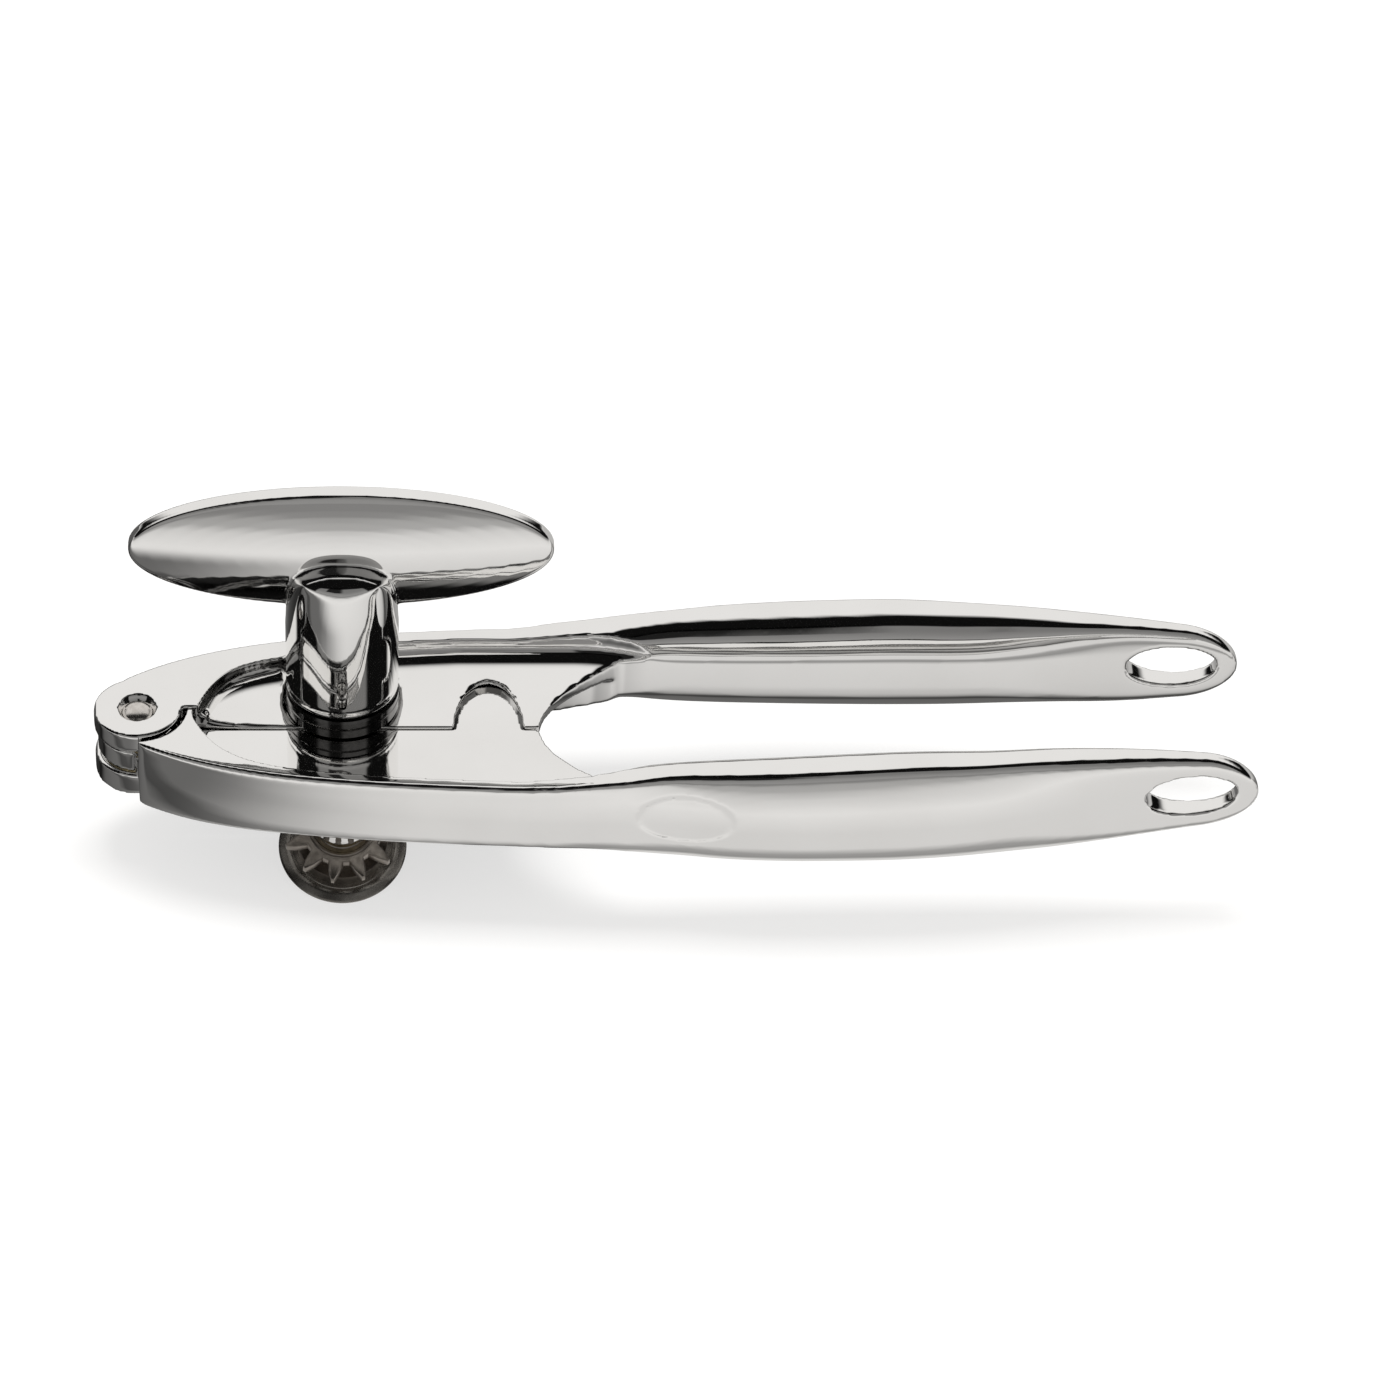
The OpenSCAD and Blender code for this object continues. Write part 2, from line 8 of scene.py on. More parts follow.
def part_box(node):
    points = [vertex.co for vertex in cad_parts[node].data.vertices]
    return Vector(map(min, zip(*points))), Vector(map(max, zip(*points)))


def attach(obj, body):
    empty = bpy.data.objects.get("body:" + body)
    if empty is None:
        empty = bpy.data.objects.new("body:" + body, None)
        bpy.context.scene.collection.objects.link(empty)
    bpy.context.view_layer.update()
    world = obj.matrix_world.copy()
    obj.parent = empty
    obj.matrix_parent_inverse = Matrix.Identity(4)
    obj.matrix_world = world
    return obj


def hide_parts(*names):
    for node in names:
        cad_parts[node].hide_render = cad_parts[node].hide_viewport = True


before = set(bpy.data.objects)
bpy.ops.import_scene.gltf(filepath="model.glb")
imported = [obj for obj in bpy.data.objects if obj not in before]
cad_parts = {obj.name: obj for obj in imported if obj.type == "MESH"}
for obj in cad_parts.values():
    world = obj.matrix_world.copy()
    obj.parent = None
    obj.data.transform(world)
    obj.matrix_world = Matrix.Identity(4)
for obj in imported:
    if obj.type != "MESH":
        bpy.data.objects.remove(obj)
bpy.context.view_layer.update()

# Camera: a long lens straight in front of the jaws and above them, on the side of the front
# handle, turned aside to the middle of the tool. Lengths of the tool are in millimetres: x from
# the hinge axis towards the grips, y from the split line, z from the pocket's floor.
MM = 0.001
COLLAR_UNDER_Z = 0.4
CAMERA_RISE = radians(42)
CAMERA_DISTANCE = 1.0
SENSOR_WIDTH, LENS = 36, 145.86
LOOK_AT = (42, 7.4, 0)
FRAME_MIDDLE_X = 98.6

rivet_low, rivet_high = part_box("hinge_rivet")
pivot = (rivet_low + rivet_high) / 2
pivot.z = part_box("knob_collar")[0].z - COLLAR_UNDER_Z * MM
to_frame = Matrix.Translation(pivot) @ Matrix.Scale(MM, 4)

camera_data = bpy.data.cameras.new("camera")
camera_data.sensor_width = SENSOR_WIDTH
camera_data.lens = LENS
camera_data.clip_end = 20
camera = bpy.data.objects.new("camera", camera_data)
camera.location = to_frame @ Vector(LOOK_AT) + CAMERA_DISTANCE * Vector(
    (0, -cos(CAMERA_RISE), sin(CAMERA_RISE)))
turn = atan((FRAME_MIDDLE_X - LOOK_AT[0]) * MM / CAMERA_DISTANCE)
camera.rotation_euler = (Matrix.Rotation(pi / 2 - CAMERA_RISE, 3, "X")
                         @ Matrix.Rotation(-turn, 3, "Y")).to_euler()
bpy.context.scene.collection.objects.link(camera)
bpy.context.scene.camera = camera
bpy.context.scene.view_settings.view_transform = "Standard"


# Studio: a white paper table in a room that the metal mirrors, pale behind the tool and greyer in
# front, with a black ceiling and black sides. One large lamp overhead gives the soft shadow on
# the table that the camera sees, and in the metal the table shows painted shadow. Sizes here are
# in metres.
class Shade:
    """A socket in a node tree. Arithmetic on it adds Math nodes."""

    def __init__(self, tree, socket):
        self.tree, self.socket = tree, socket

    def maths(self, operation, first, second):
        return self.tree.node("ShaderNodeMath", {"operation": operation}, {0: first, 1: second})

    def __add__(self, other):
        return self.maths("ADD", self, other)

    def __radd__(self, other):
        return self.maths("ADD", other, self)

    def __sub__(self, other):
        return self.maths("SUBTRACT", self, other)

    def __rsub__(self, other):
        return self.maths("SUBTRACT", other, self)

    def __mul__(self, other):
        return self.maths("MULTIPLY", self, other)

    def __rmul__(self, other):
        return self.maths("MULTIPLY", other, self)

    def __truediv__(self, other):
        return self.maths("DIVIDE", self, other)

    def ramp(self, low, high, start=0.0, end=1.0):
        """start at low and end at high, eased between them."""
        return self.tree.node("ShaderNodeMapRange", {"interpolation_type": "SMOOTHSTEP"},
                              {0: self, 1: low, 2: high, 3: start, 4: end})


class Nodes:
    """The node tree of one finish or of the room."""

    def __init__(self, owner):
        owner.use_nodes = True
        self.tree = owner.node_tree
        self.tree.nodes.clear()

    def node(self, kind, settings=None, values=None, out=0):
        made = self.tree.nodes.new(kind)
        for name, value in (settings or {}).items():
            if name == "stops":
                while len(made.color_ramp.elements) < len(value):
                    made.color_ramp.elements.new(1)
                for element, (position, colour) in zip(made.color_ramp.elements, value):
                    element.position, element.color = position, (*colour, 1)
            else:
                setattr(made, name, value)
        for name, value in (values or {}).items():
            socket = made.inputs[name]
            if isinstance(value, Shade):
                self.tree.links.new(value.socket, socket)
            else:
                socket.default_value = value
        return Shade(self, made.outputs[out]) if len(made.outputs) else None

    def mix(self, factor, first, second):
        """A colour between two colours."""
        return self.node("ShaderNodeMix", {"data_type": "RGBA"},
                         {0: factor, 6: (*first, 1), 7: (*second, 1)}, out=2)

    def split(self, vector):
        """The x, y and z of a vector."""
        return [self.node("ShaderNodeSeparateXYZ", None, {0: vector}, out=k) for k in range(3)]

    def direction(self):
        """Which way one looks into the room: x to the right, y to the back, z up."""
        return self.node("ShaderNodeTexCoord", None, None, out=0)

    def place(self):
        """Where a point of a piece is."""
        return self.node("ShaderNodeTexCoord", None, None, out=3)

    def seen(self):
        """1 where the camera looks straight at this, 0 in mirrors and in the light."""
        return self.node("ShaderNodeLightPath", None, None, out=0)

    def in_mirror(self):
        """1 where this is seen in a mirror."""
        return self.node("ShaderNodeLightPath", None, None, out=3)


PAPER = (1.0, 0.985, 0.965)
FILL_LIGHT = 0.72
BACK_WALL = 0.83
CEILING = 0.004
OPERATOR_SHADE = 0.93

world = bpy.data.worlds.new("studio")
bpy.context.scene.world = world
sky = Nodes(world)
sky_x, sky_y, sky_z = sky.split(sky.direction())
in_front = sky_y.ramp(0.25, -0.35)
front_wall = sky_z.ramp(-0.05, 0.75, start=0.28, end=0.185)
wall = BACK_WALL + in_front * (front_wall - BACK_WALL)
# The ceiling is a black strip across the room, bounded by its lean from the upright, and black
# sides meet it
lean = sky_y / sky_z
overhead = lean.ramp(0.41, 0.23) * lean.ramp(-0.58, -0.46) * sky_z.ramp(0.02, 0.1)
aside = sky_x * sky_x / (sky_y * sky_y + 0.0001)
side_back = aside.ramp(0.42, 0.7) * sky_z.ramp(0.6, 0.3)
side_front = aside.ramp(1.0, 2.0)
side = (side_back + in_front * (side_front - side_back)) * sky_z.ramp(-0.05, 0.08)
ceiling = 1 - (1 - overhead) * (1 - side)
# The operator stands dark before the front wall, left of the middle
bearing = sky_x / sky_y
operator = (sky_y.ramp(-0.3, -0.42) * sky_z.ramp(0.50, 0.58)
            * bearing.ramp(-0.06, 0.06) * bearing.ramp(0.60, 0.48))
room = wall + ceiling * (CEILING - wall)
room = room * (1 - OPERATOR_SHADE * operator)
level = FILL_LIGHT + sky.in_mirror() * (room - FILL_LIGHT)
level = level + sky.seen() * (1.0 - level)
tint = sky.mix(sky.seen(), PAPER, (1, 1, 1))
background = sky.node("ShaderNodeBackground", None, {"Color": tint, "Strength": level})
sky.node("ShaderNodeOutputWorld", None, {"Surface": background})

TABLE_HALF = 2.5
TABLE_WHITE = (0.97, 0.965, 0.955)
# How brightly the table shows in the metal, by distance from GLOW_START towards the front, as
# shares of GLOW_REACH. In the metal the table glows at these levels instead of being lit, and
# their dark dips under the handles are painted shadow
GLOW_START, GLOW_REACH = 0.1, 0.62
GLOW_AND_PAINTED_SHADOW_BY_DISTANCE = ((0, 0.5), (0.075, 0.35), (0.115, 0.14), (0.14, 0.13), (0.151, 0.02),
                    (0.157, 0.3), (0.163, 0.52), (0.18, 0.66), (0.192, 0.7), (0.199, 0.3),
                    (0.207, 0.35), (0.215, 0.69), (0.24, 0.69), (0.3, 0.80), (0.41, 0.65),
                    (0.48, 0.42), (0.6, 0.38), (0.73, 0.27), (1, 0.23))

table = bmesh.new()
bmesh.ops.create_grid(table, x_segments=1, y_segments=1, size=TABLE_HALF)
floor_mesh = bpy.data.meshes.new("table")
table.to_mesh(floor_mesh)
table.free()
floor = bpy.data.objects.new("table", floor_mesh)
bpy.context.scene.collection.objects.link(floor)
paper = bpy.data.materials.new("table_paper")
floor_mesh.materials.append(paper)
top = Nodes(paper)
top_x, top_y, _ = top.split(top.place())
stops = [(share, (shine, shine, shine)) for share, shine in GLOW_AND_PAINTED_SHADOW_BY_DISTANCE]
before_tool = top.node("ShaderNodeValToRGB", {"stops": stops},
                       {0: (GLOW_START - top_y) / GLOW_REACH})
# In the metal the table is painted darker left of the jaws, and painted shadow darkens it under the
# jaws
beside_jaws = top_y.ramp(-0.08, -0.05) * top_x.ramp(-0.045, -0.11)
painted_shadow_under_jaws = (top_y.ramp(-0.026, -0.018) * top_y.ramp(0.04, 0.03) * top_x.ramp(-0.045, -0.035)
              * top_x.ramp(-0.005, -0.02))
mirror_glow_and_painted_shadow = before_tool * (1 - 0.8 * beside_jaws) * (1 - 0.85 * painted_shadow_under_jaws)
matt = top.node("ShaderNodeBsdfDiffuse", None, {"Color": (*TABLE_WHITE, 1)})
white = top.node("ShaderNodeEmission", None, {"Color": (1, 1, 1, 1), "Strength": 1.0})
# In mirrors the table is an emission at these painted levels, its painted shadow included
card = top.node("ShaderNodeEmission", None, {"Color": (*PAPER, 1), "Strength": mirror_glow_and_painted_shadow})
camera_look = top.node("ShaderNodeMixShader", None, {0: 0.4, 1: white, 2: matt})
other_look = top.node("ShaderNodeMixShader", None, {0: top.in_mirror(), 1: matt, 2: card})
look = top.node("ShaderNodeMixShader", None, {0: top.seen(), 1: other_look, 2: camera_look})
top.node("ShaderNodeOutputMaterial", None, {"Surface": look})

lamp_data = bpy.data.lights.new("overhead_softbox", "AREA")
lamp_data.shape = "RECTANGLE"
lamp_data.size, lamp_data.size_y = 0.5, 0.3
lamp_data.energy = 7
lamp = bpy.data.objects.new("overhead_softbox", lamp_data)
lamp.location = (0, 0.12, 1.0)
lamp.rotation_euler = (-radians(7), 0, 0)
lamp.visible_glossy = False
bpy.context.scene.collection.objects.link(lamp)

# Rear handle: a zinc die casting, polished and chrome plated. It carries the knob's bearing, the
# upper and lower hinge knuckles and half of the pocket, and its grip ends in a flat blade.
RIM_Z, UNDER_Z = 5.0, -8.8
SPLIT = 0.2
REAR_START, NOSE_R = -3.6, 1.8
NOSE_DROP, NOSE_DROP_X = 0.6, (6, 30)
THROAT_X, FORK_W = 70.2, 16.4
JAW_TO_GRIP_X, GRIP_TO_BLADE_X = (68, 98), (146, 180)
TIP_X, TIP_L = 185.0, 10.0
HOLE, HOLE_HALF_W, HOLE_HALF_H = Vector((183.1, 0, 1.1)), 8.1, 4.3
KNUCKLE_R, KNUCKLE_SPACE_R, UPPER_Z, LOWER_Z = 7.57, 7.7, 1.1, -4.2
RIVET_HOLE_R, HEAD_SEAT_R, TAIL_SEAT_R = 2.52, 3.25, 3.5
KNOB = Vector((35.6, 6.5, 0))
COLLAR_SEAT_R, BEARING_R, BEARING_Z, SHAFT_HOLE_R = 10.4, 6.1, (-10.1, -0.5), 5.1
WALL_T, POCKET_START, POCKET_END = 3.6, 10.6, 91.7
# The voxels and rounds of polishing that give every edge a casting's small radius
VOXEL, POLISH = 0.4, 4
# The solids that cut the pocket stand this far above the rim
OVER = 4

# Sections as points from the upper inner edge over the top, down the outside and back below, as
# shares of width and height: a jaw is boxed, a grip rounded with a flat inner side, a blade flat
JAW = ((0, 1), (0.06, 1), (0.13, 1), (0.2, 1), (0.3, 1), (0.4, 1), (0.5, 1), (0.6, 1), (0.7, 1),
       (0.8, 1), (0.87, 1), (0.925, 1), (0.95, 0.998), (0.963, 0.99), (0.97, 0.975),
       (0.975, 0.95), (0.984, 0.8), (0.993, 0.65), (1, 0.48), (0.996, 0.3), (0.986, 0.12),
       (0.968, 0.02), (0.93, 0), (0.75, 0), (0.5, 0), (0.3, 0), (0.12, 0), (0, 0))
GRIP = ((0, 0.656), (0.005, 0.698), (0.032, 0.774), (0.096, 0.866), (0.137, 0.9), (0.191, 0.93),
        (0.27, 0.958), (0.329, 0.972), (0.379, 0.98), (0.483, 0.992), (0.578, 0.998), (0.676, 1),
        (0.72, 0.997), (0.761, 0.989), (0.795, 0.975), (0.814, 0.96), (0.892, 0.833),
        (0.966, 0.672), (1, 0.481), (0.953, 0.281), (0.856, 0.132), (0.703, 0.035), (0.568, 0),
        (0.405, 0.044), (0.225, 0.115), (0.099, 0.189), (0.027, 0.264), (0, 0.366))
BLADE = ((0, 0.66), (0, 0.75), (0, 0.84), (0.01, 0.9), (0.04, 0.935), (0.08, 0.96), (0.15, 0.98),
         (0.22, 0.99), (0.3, 0.996), (0.4, 1), (0.5, 1), (0.6, 1), (0.7, 0.996), (0.79, 0.989),
         (0.87, 0.977), (0.94, 0.955), (0.99, 0.9), (1, 0.72), (1, 0.48), (1, 0.28),
         (0.995, 0.12), (0.95, 0.05), (0.82, 0.015), (0.6, 0), (0.38, 0), (0.2, 0.012),
         (0.07, 0.04), (0, 0.11))
# Stations along the grip: x, inner side, outer side, bottom, top
STATIONS = ((60, 15.4, 21.6, -8.8, 5), (66, 15.4, 21.9, -8.8, 5), (74, 15.4, 22.63, -8.7, 5.83),
            (84, 15.4, 23.25, -9.42, 7.17), (92, 15.06, 23.83, -10.7, 8.43),
            (101, 14.75, 24.87, -11.45, 9.17), (111, 14.49, 25.41, -11.79, 9.74),
            (122, 14.26, 25.43, -11.92, 10.33), (134, 14.09, 25.08, -11.86, 10.82),
            (146, 13.98, 24.15, -11.35, 10.7), (157, 14.15, 22.55, -10.38, 10.66),
            (167, 14.63, 20.9, -9.1, 10.25), (176, 15, 19.6, -7.95, 9.72),
            (185, 15, 18.7, -6.85, 8.85), (191, 14.9, 18.4, -6.4, 8.1),
            (196, 14.9, 18.4, -6.2, 7.2))
# Between these the outer side passes from the jaw's edge to the stations
JAW_END_X, GRIP_START_X = 56, 66


def ease(value, low, high):
    """0 at low and 1 at high, eased between them."""
    t = min(1, max(0, (value - low) / (high - low)))
    return t * t * (3 - 2 * t)


def smooth_row(rows, x):
    """The row at x on a smooth curve through rows whose first entry is their x."""
    k = max(0, min(len(rows) - 2, sum(1 for r in rows if r[0] <= x) - 1))
    a, b = rows[k], rows[k + 1]
    before, after = rows[max(0, k - 1)], rows[min(len(rows) - 1, k + 2)]
    d = b[0] - a[0]
    t = (x - a[0]) / d
    values = []
    for i in range(1, len(a)):
        m = (b[i] - before[i]) / (b[0] - before[0]) * d
        n = (after[i] - a[i]) / (after[0] - a[0]) * d
        values.append(a[i] + t * m + t * t * (3 * (b[i] - a[i]) - 2 * m - n)
                      + t ** 3 * (2 * (a[i] - b[i]) + m + n))
    return values


def jaw_edge(x):
    """Half width of the closed jaws."""
    return 20.3 + 0.028 * x - 10.9 * exp(-x / 18.3)


def fork_side(x):
    """Where the floor of the pocket ends at the throat, as a distance from the split line."""
    return sqrt(max(0.0, (x - THROAT_X) * FORK_W))


def handle_section(x, start=-20):
    """Points of the section at x, in the plane of y and z, of a handle that begins at start."""
    inner, outer, bottom, top = smooth_row(STATIONS, max(x, STATIONS[0][0]))
    if x < GRIP_START_X:
        outer = jaw_edge(x) + ease(x, JAW_END_X, GRIP_START_X) * (outer - jaw_edge(x))
    inner = max(SPLIT, min(fork_side(x), inner))
    bottom -= NOSE_DROP * (1 - ease(x, *NOSE_DROP_X))
    nose = max(0.0, 1 - (x - start) / NOSE_R)
    outer -= NOSE_R * (1 - sqrt(1 - nose * nose))
    gripped = ease(x, *JAW_TO_GRIP_X)
    flat = ease(x, *GRIP_TO_BLADE_X)
    shape = []
    for jaw, grip, blade in zip(JAW, GRIP, BLADE):
        point = Vector(jaw).lerp(Vector(grip), gripped)
        shape.append(point.lerp(Vector(blade), flat))
    # A smooth curve runs through these points, and straight up the inner side
    curve = []
    for k in range(len(shape) - 1):
        a, b = shape[k], shape[k + 1]
        before = shape[k - 1] if k else a
        after = shape[k + 2] if k + 2 < len(shape) else b
        da = max(1e-6, (a - before).length) ** 0.5
        db = max(1e-6, (b - a).length) ** 0.5
        dc = max(1e-6, (after - b).length) ** 0.5
        m = b - a
        if k:
            m = db * ((a - before) / da - (b - before) / (da + db) + (b - a) / db)
        n = b - a
        if k + 2 < len(shape):
            n = db * ((b - a) / db - (after - a) / (db + dc) + (after - b) / dc)
        for step in range(4):
            t = step / 4
            curve.append(a + t * m + t * t * (3 * (b - a) - 2 * m - n)
                         + t ** 3 * (2 * (a - b) + m + n))
    curve += [shape[-1].lerp(shape[0], t / 12) for t in range(12)]
    # Past TIP_X the blade rounds off in height and thins to a bit over half
    shrink = sqrt(max(0.0, 1 - ((x - TIP_X) / TIP_L) ** 2)) if x > TIP_X else 1
    thin = 0.55 + 0.45 * shrink
    middle, mid_y = (bottom + top) / 2, (inner + outer) / 2
    points = []
    for u, v in curve:
        y, z = inner + u * (outer - inner), bottom + v * (top - bottom)
        points.append(Vector((x, mid_y + (y - mid_y) * thin, middle + (z - middle) * shrink)))
    return points


def loft(sections):
    """A closed solid through sections that have the same number of points."""
    bm = bmesh.new()
    loops = []
    for section in sections:
        verts = [bm.verts.new(p) for p in section]
        loops.append([bm.edges.new((verts[k - 1], verts[k])) for k in range(len(verts))])
    for first, second in zip(loops, loops[1:]):
        bmesh.ops.bridge_loops(bm, edges=first + second)
    for end in (loops[0], loops[-1]):
        bmesh.ops.contextual_create(bm, geom=end)
    bmesh.ops.recalc_face_normals(bm, faces=bm.faces)
    return bm


def prism(plan, low, high):
    """A closed solid with the same plan from low to high."""
    return loft([[Vector((x, y, z)) for x, y in plan] for z in (low, high)])


def disc(x, y, radius, low, high):
    """An upright cylinder."""
    sides = 72
    return prism([(x + radius * cos(2 * pi * k / sides), y + radius * sin(2 * pi * k / sides))
                  for k in range(sides)], low, high)


def as_object(name, bm):
    """The solid as an object of its own, its double points merged."""
    mesh = bpy.data.meshes.new(name)
    bmesh.ops.remove_doubles(bm, verts=bm.verts, dist=0.0005)
    bm.to_mesh(mesh)
    bm.free()
    made = bpy.data.objects.new(name, mesh)
    bpy.context.scene.collection.objects.link(made)
    return made


def cast(name, blank, steps, voxel, rounds):
    """The blank with solids added and cut away, its edges rounded as a casting's are, as a mesh."""
    work = as_object(name + "_blank", blank)
    tools = []
    for operation, solid in steps:
        tool = as_object(name + "_tool", solid)
        tools.append(tool)
        cut = work.modifiers.new("cut", "BOOLEAN")
        cut.operation, cut.object, cut.solver = operation, tool, "MANIFOLD"
    remesh = work.modifiers.new("skin", "REMESH")
    remesh.mode, remesh.voxel_size, remesh.use_smooth_shade = "VOXEL", voxel, True
    polish = work.modifiers.new("polish", "SMOOTH")
    polish.factor, polish.iterations = 0.5, rounds
    depsgraph = bpy.context.evaluated_depsgraph_get()
    mesh = bpy.data.meshes.new_from_object(work.evaluated_get(depsgraph))
    for used in [work, *tools]:
        bpy.data.objects.remove(used)
    return mesh


def piece(name, mesh, material, body, slot, *nodes):
    """A finished piece in the frame, which stands for its CAD nodes."""
    mesh.transform(to_frame)
    mesh.materials.clear()
    mesh.materials.append(material)
    mesh.shade_smooth()
    made = bpy.data.objects.new(name, mesh)
    bpy.context.scene.collection.objects.link(made)
    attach(made, body)
    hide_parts(*nodes)
    return made


def noise(nodes, scale, detail, roughness):
    """Cloudy noise over a piece, with about this many clouds to the metre."""
    return nodes.node("ShaderNodeTexNoise", None,
                      {"Vector": nodes.place(), "Scale": scale, "Detail": detail,
                       "Roughness": roughness})


def metal_skin(nodes, colour, rough, height, strength, distance):
    """Metal of this colour and roughness, with its skin uneven by height."""
    bump = nodes.node("ShaderNodeBump", None,
                      {"Strength": strength, "Distance": distance, "Height": height})
    shader = nodes.node("ShaderNodeBsdfPrincipled", None,
                        {"Base Color": colour, "Metallic": 1.0, "Roughness": rough,
                         "Normal": bump})
    nodes.node("ShaderNodeOutputMaterial", None, {"Surface": shader})


CHROME, CHROME_WIPED = (0.93, 0.926, 0.918), (0.90, 0.895, 0.885)


def chrome_plate():
    """Bright chrome plate over a polished casting, with faint wipe marks and waves."""
    finish = bpy.data.materials.new("chrome_plate")
    nodes = Nodes(finish)
    smudge = noise(nodes, 45, 4, 0.55)
    grain = noise(nodes, 900, 3, 0.6)
    waves = noise(nodes, 38, 1, 0.4)
    colour = nodes.mix(smudge.ramp(0.35, 0.7), CHROME, CHROME_WIPED)
    rough = 0.028 + 0.035 * smudge.ramp(0.45, 0.75) + 0.02 * grain
    metal_skin(nodes, colour, rough, waves, 0.1, 0.0006)
    return finish


def jaw_wall(x, thickness, farthest, drawn_in):
    """Inner side of a jaw's wall, which is drawn in towards the end of the pocket."""
    return min(jaw_edge(x) - thickness,
               farthest - drawn_in * max(0.0, (x - 76) / 15.7) ** 2)


def rear_jaw_wall(x):
    """Inner wall of the rear pocket, with a shoulder in front of the knob."""
    before_knob = 1 - ease(x, 25, 27.5)
    shoulder = 1.6 * before_knob
    web = before_knob * 7 * exp((11.2 - x) / 3.2)
    return jaw_wall(x, WALL_T, 17.75, 3) - shoulder - web


# The foot of the pocket's wall as (inset from the wall, height): the rear floor rises in a
# shallow dish to a cove
REAR_FOOT = ((15, 0.03), (12, 0.2), (10, 0.4), (8, 0.68), (6, 1.0), (4, 1.42), (2.5, 1.79),
             (1.75, 2.06), (1.05, 2.4), (0.5, 2.75), (0.25, 3.0), (0.12, 3.4), (0.06, 4.2))


def pocket(start, wall, foot):
    """The pocket in a jaw, from its floor over the foot of its wall to above the rim."""
    across_split = -6
    steps = 160
    levels = []
    for inset, z in (*foot, (0, RIM_Z + OVER)):
        first = start + min(inset, 1.5)
        last = POCKET_END - 0.6 * min(inset, 3)
        plan = [(first, across_split)]
        plan += [(x, max(SPLIT + 0.1, wall(x) - inset))
                 for x in (first + (last - first) * k / steps for k in range(steps + 1))]
        plan += [(last, across_split)]
        levels.append([Vector((px, py, z)) for px, py in plan])
    return loft(levels)


def under_plate():
    """The space under the thin plate at the throat."""
    return prism([(67.6, -1), (67.6, 11), (72, 13.6), (80, 14.9), (92, 15.0), (96, -1)], -16, -1.9)


def under_recess():
    """The recess under a jaw, inside a wall along its edges."""
    wall, depth = 3.2, 4.3
    first, length, steps = 16, 39.2, 24
    xs = [first + k * length / steps for k in range(steps + 1)]
    return prism([(x, jaw_edge(x) - wall) for x in xs] + [(first + length, wall), (first, wall)],
                 UNDER_Z - 2, UNDER_Z + depth)


def hanging_hole():
    """The long hole through a grip's blade, from its inner side out."""
    rim = [(HOLE.x + HOLE_HALF_W * cos(2 * pi * k / 64),
            HOLE.z + HOLE_HALF_H * sin(2 * pi * k / 64)) for k in range(64)]
    return loft([[Vector((x, y, z)) for x, z in rim] for y in (8, 26)])


def jaw_and_grip(start):
    """The outer skin of a handle from its nose at start to the tip of its blade."""
    xs = [start + NOSE_R * (1 - cos(k * pi / 14)) for k in range(7)]
    xs += [start + NOSE_R + k for k in range(int(THROAT_X - start - NOSE_R))]
    xs += [THROAT_X + (0.5 * k) ** 2 / FORK_W for k in range(1, 33)]
    xs += range(87, int(TIP_X))
    xs += [TIP_X + TIP_L * sin(radians(a)) for a in range(4, 90, 5)]
    return loft([handle_section(x, start) for x in xs])


NOTCH_X, NOTCH_HALF_W, NOTCH_HALF_L = 61.2, 6.05, 11.2
notch = prism([(NOTCH_X + NOTCH_HALF_W * cos(radians(a)), NOTCH_HALF_L * sin(radians(a)))
               for a in range(0, 360, 5)], UNDER_Z - 1, RIM_Z + 1)
rear_steps = [
    ("DIFFERENCE", pocket(POCKET_START, rear_jaw_wall, REAR_FOOT)),
    ("DIFFERENCE", disc(KNOB.x, KNOB.y, COLLAR_SEAT_R, 0, RIM_Z + OVER)),
    ("DIFFERENCE", under_recess()),
    ("DIFFERENCE", under_plate()),
    ("DIFFERENCE", notch),
    ("UNION", disc(0, 0, KNUCKLE_R, UNDER_Z, RIM_Z)),
    ("UNION", disc(KNOB.x, KNOB.y, BEARING_R, *BEARING_Z)),
    ("DIFFERENCE", disc(0, 0, KNUCKLE_SPACE_R, LOWER_Z, UPPER_Z)),
    ("DIFFERENCE", disc(0, 0, RIVET_HOLE_R, UNDER_Z - 1, RIM_Z + 1)),
    ("DIFFERENCE", disc(0, 0, HEAD_SEAT_R, RIM_Z - 1.1, RIM_Z + 1)),
    ("DIFFERENCE", disc(0, 0, TAIL_SEAT_R, UNDER_Z - 2, UNDER_Z + 2.1)),
    ("DIFFERENCE", disc(KNOB.x, KNOB.y, SHAFT_HOLE_R, -12, 2)),
    ("DIFFERENCE", hanging_hole()),
]
rear_mesh = cast("rear", jaw_and_grip(REAR_START), rear_steps, VOXEL, POLISH)
plate = chrome_plate()
piece("rear_handle_casting", rear_mesh, plate, "rear_handle", "cast_chrome", "rear_handle")

# Front handle: the mirrored casting, plated alike, with the middle hinge knuckle, the tongue that
# closes into the rear jaw's notch and the inclined boss for the cutter's stud. A shallow oval is
# sunk into its outer side.
FRONT_START = -0.3
FRONT_WALL_T, FRONT_POCKET_START = 3, 9.6
MIDDLE_KNUCKLE_R, MIDDLE_SPACE_R, MIDDLE_HOLE_R, KNUCKLE_GAP = 7.0, 8.6, 2.55, 0.5
BOSS_R, STUD_HOLE_R, STUD_SEAT_R, STUD_SEAT_Z = 5.5, 2.52, 3.4, (15.45, 17.65)
BOSS_FRONT_R, BOSS_FRONT_Y, BOSS_TOP_Z, BOSS_END_Z = 5.6, -10.8, -3.5, -12.6
# The front floor is flat up to a small cove
FRONT_FOOT = ((0.8, 0), (0.5, 0.06), (0.25, 0.22), (0.08, 0.45), (0, 0.8))


def front_jaw_wall(x):
    """Inner wall of the front pocket."""
    return jaw_wall(x, FRONT_WALL_T, 19, 4.2) - 8.4 * exp((10 - x) / 4.3)


